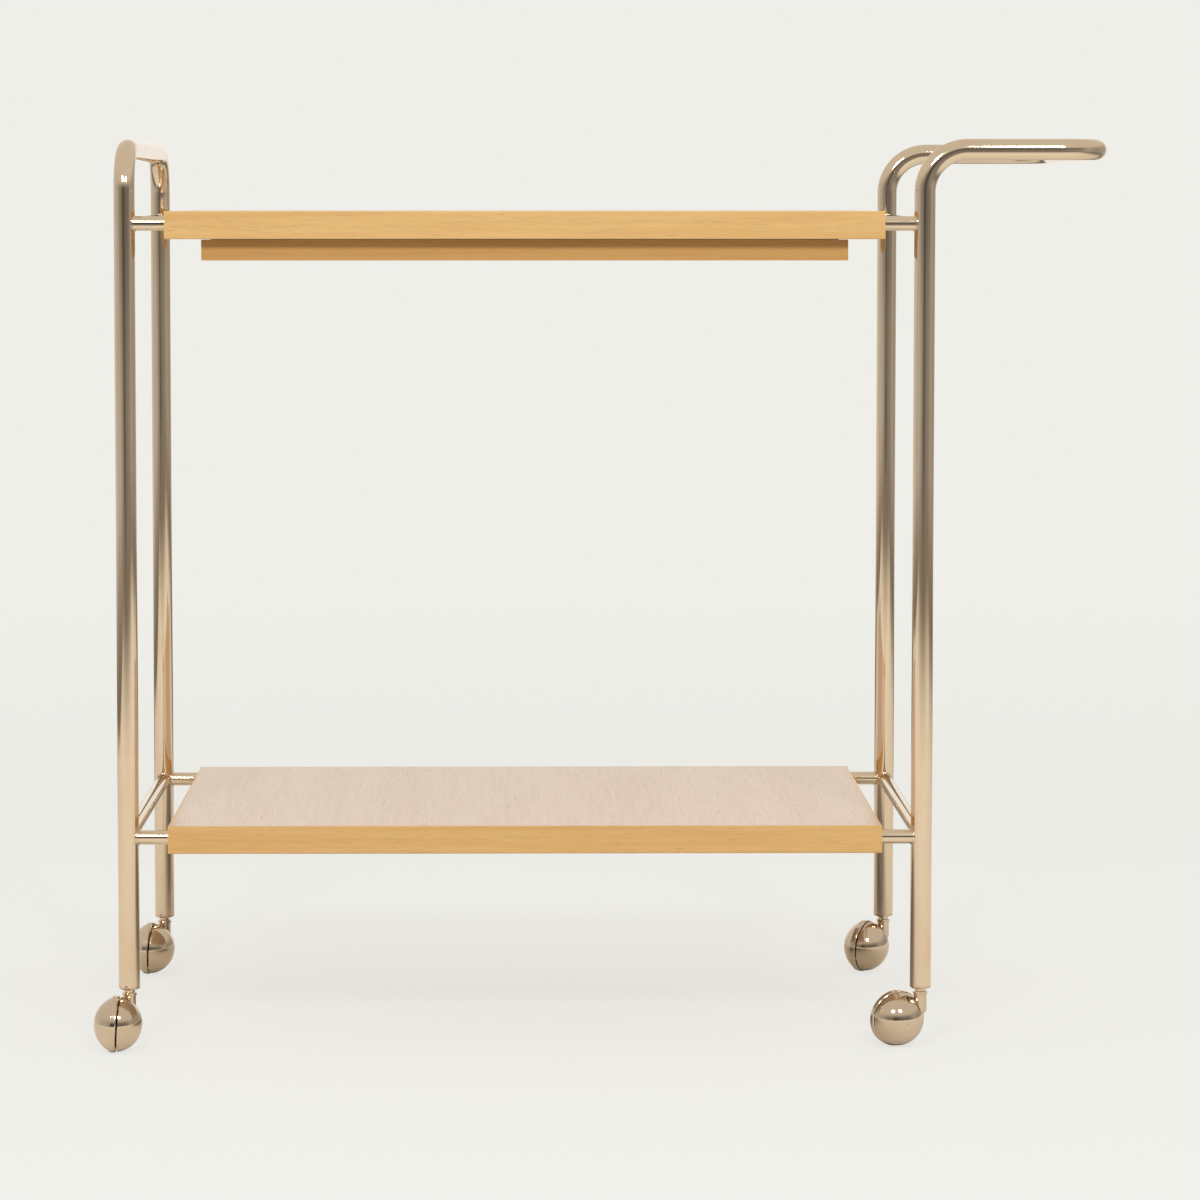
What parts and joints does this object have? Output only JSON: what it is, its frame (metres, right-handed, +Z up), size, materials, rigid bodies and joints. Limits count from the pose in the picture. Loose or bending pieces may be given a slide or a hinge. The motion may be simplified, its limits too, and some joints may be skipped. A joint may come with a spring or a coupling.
{
  "type": "bar cart",
  "caption": "Rolling bar cart: bent tube end frames with a push handle, oak shelves, a shallow drawer under the top and ball casters.",
  "frame": {"origin": "on the floor, under the middle of the cart's bounding box with the casters at rest", "axes": "+Z up, +X along the cart towards the push handle, -Y out of the cart's front, where the drawer opens"},
  "size_m": [0.9164, 0.4374, 0.8205],
  "materials": {
    "plated_tube": "polished champagne plating",
    "caster_metal": "polished champagne plating",
    "axle_steel": "turned",
    "nylon": "moulded",
    "oak_veneer": "satin lacquered oak veneer",
    "oak_edging": "satin lacquered oak",
    "birch_ply": "sealed birch plywood",
    "runner_oak": "waxed oak",
    "zinc": "zinc plated"
  },
  "bodies": {
    "root": {"left_frame_tube": "plated_tube", "right_frame_tube": "plated_tube", "upper_left_rail": "plated_tube", "upper_right_rail": "plated_tube", "lower_left_rail": "plated_tube", "lower_right_rail": "plated_tube", "upper_front_left_rod": "plated_tube", "upper_front_right_rod": "plated_tube", "upper_back_left_rod": "plated_tube", "upper_back_right_rod": "plated_tube", "lower_front_left_rod": "plated_tube", "lower_front_right_rod": "plated_tube", "lower_back_left_rod": "plated_tube", "lower_back_right_rod": "plated_tube", "top_shelf_panel": "oak_veneer", "top_shelf_front_edging": "oak_edging", "top_shelf_back_edging": "oak_edging", "top_shelf_left_edging": "oak_edging", "top_shelf_right_edging": "oak_edging", "lower_shelf_panel": "oak_veneer", "lower_shelf_front_edging": "oak_edging", "lower_shelf_back_edging": "oak_edging", "lower_shelf_left_edging": "oak_edging", "lower_shelf_right_edging": "oak_edging", "left_runner": "runner_oak", "right_runner": "runner_oak", "drawer_stop": "runner_oak", "underside_screws": "zinc", "front_left_leg_insert": "caster_metal", "front_right_leg_insert": "caster_metal", "back_left_leg_insert": "caster_metal", "back_right_leg_insert": "caster_metal", "front_left_stem": "caster_metal", "front_right_stem": "caster_metal", "back_left_stem": "caster_metal", "back_right_stem": "caster_metal"},
    "drawer": {"drawer_front": "oak_edging", "drawer_left_side": "birch_ply", "drawer_right_side": "birch_ply", "drawer_back": "birch_ply", "drawer_bottom": "birch_ply"},
    "front_left_swivel": {"front_left_hood": "caster_metal", "front_left_axle": "axle_steel", "front_left_washer": "nylon"},
    "front_left_roller": {"front_left_wheel": "caster_metal"},
    "front_right_swivel": {"front_right_hood": "caster_metal", "front_right_axle": "axle_steel", "front_right_washer": "nylon"},
    "front_right_roller": {"front_right_wheel": "caster_metal"},
    "back_left_swivel": {"back_left_hood": "caster_metal", "back_left_axle": "axle_steel", "back_left_washer": "nylon"},
    "back_left_roller": {"back_left_wheel": "caster_metal"},
    "back_right_swivel": {"back_right_hood": "caster_metal", "back_right_axle": "axle_steel", "back_right_washer": "nylon"},
    "back_right_roller": {"back_right_wheel": "caster_metal"}
  },
  "joints": [
    {"name": "drawer_slide", "type": "slide", "parent": "root", "child": "drawer", "axis": [0, -1, 0], "range_m": [0, 0.2]},
    {"name": "front_left_swivel_turn", "type": "hinge", "parent": "root", "child": "front_left_swivel", "pos_m": [-0.4264, -0.17305, 0.04], "axis": [0, 0, 1], "continuous": true},
    {"name": "front_left_wheel_roll", "type": "hinge", "parent": "front_left_swivel", "child": "front_left_roller", "pos_m": [-0.4346, -0.19105, 0.02519], "axis": [-0.9976, 0, 0.0698], "continuous": true},
    {"name": "front_right_swivel_turn", "type": "hinge", "parent": "root", "child": "front_right_swivel", "pos_m": [0.2896, -0.17305, 0.04], "axis": [0, 0, 1], "continuous": true},
    {"name": "front_right_wheel_roll", "type": "hinge", "parent": "front_right_swivel", "child": "front_right_roller", "pos_m": [0.26984, -0.17219, 0.02519], "axis": [-0.3737, 0.9249, 0.0698], "continuous": true},
    {"name": "back_left_swivel_turn", "type": "hinge", "parent": "root", "child": "back_left_swivel", "pos_m": [-0.4264, 0.20695, 0.04], "axis": [0, 0, 1], "continuous": true},
    {"name": "back_left_wheel_roll", "type": "hinge", "parent": "back_left_swivel", "child": "back_left_roller", "pos_m": [-0.43673, 0.19008, 0.02519], "axis": [-0.9901, 0.1216, 0.0698], "continuous": true},
    {"name": "back_right_swivel_turn", "type": "hinge", "parent": "root", "child": "back_right_swivel", "pos_m": [0.2896, 0.20695, 0.04], "axis": [0, 0, 1], "continuous": true},
    {"name": "back_right_wheel_roll", "type": "hinge", "parent": "back_right_swivel", "child": "back_right_roller", "pos_m": [0.27292, 0.19632, 0.02519], "axis": [-0.8366, 0.5433, 0.0698], "continuous": true}
  ]
}
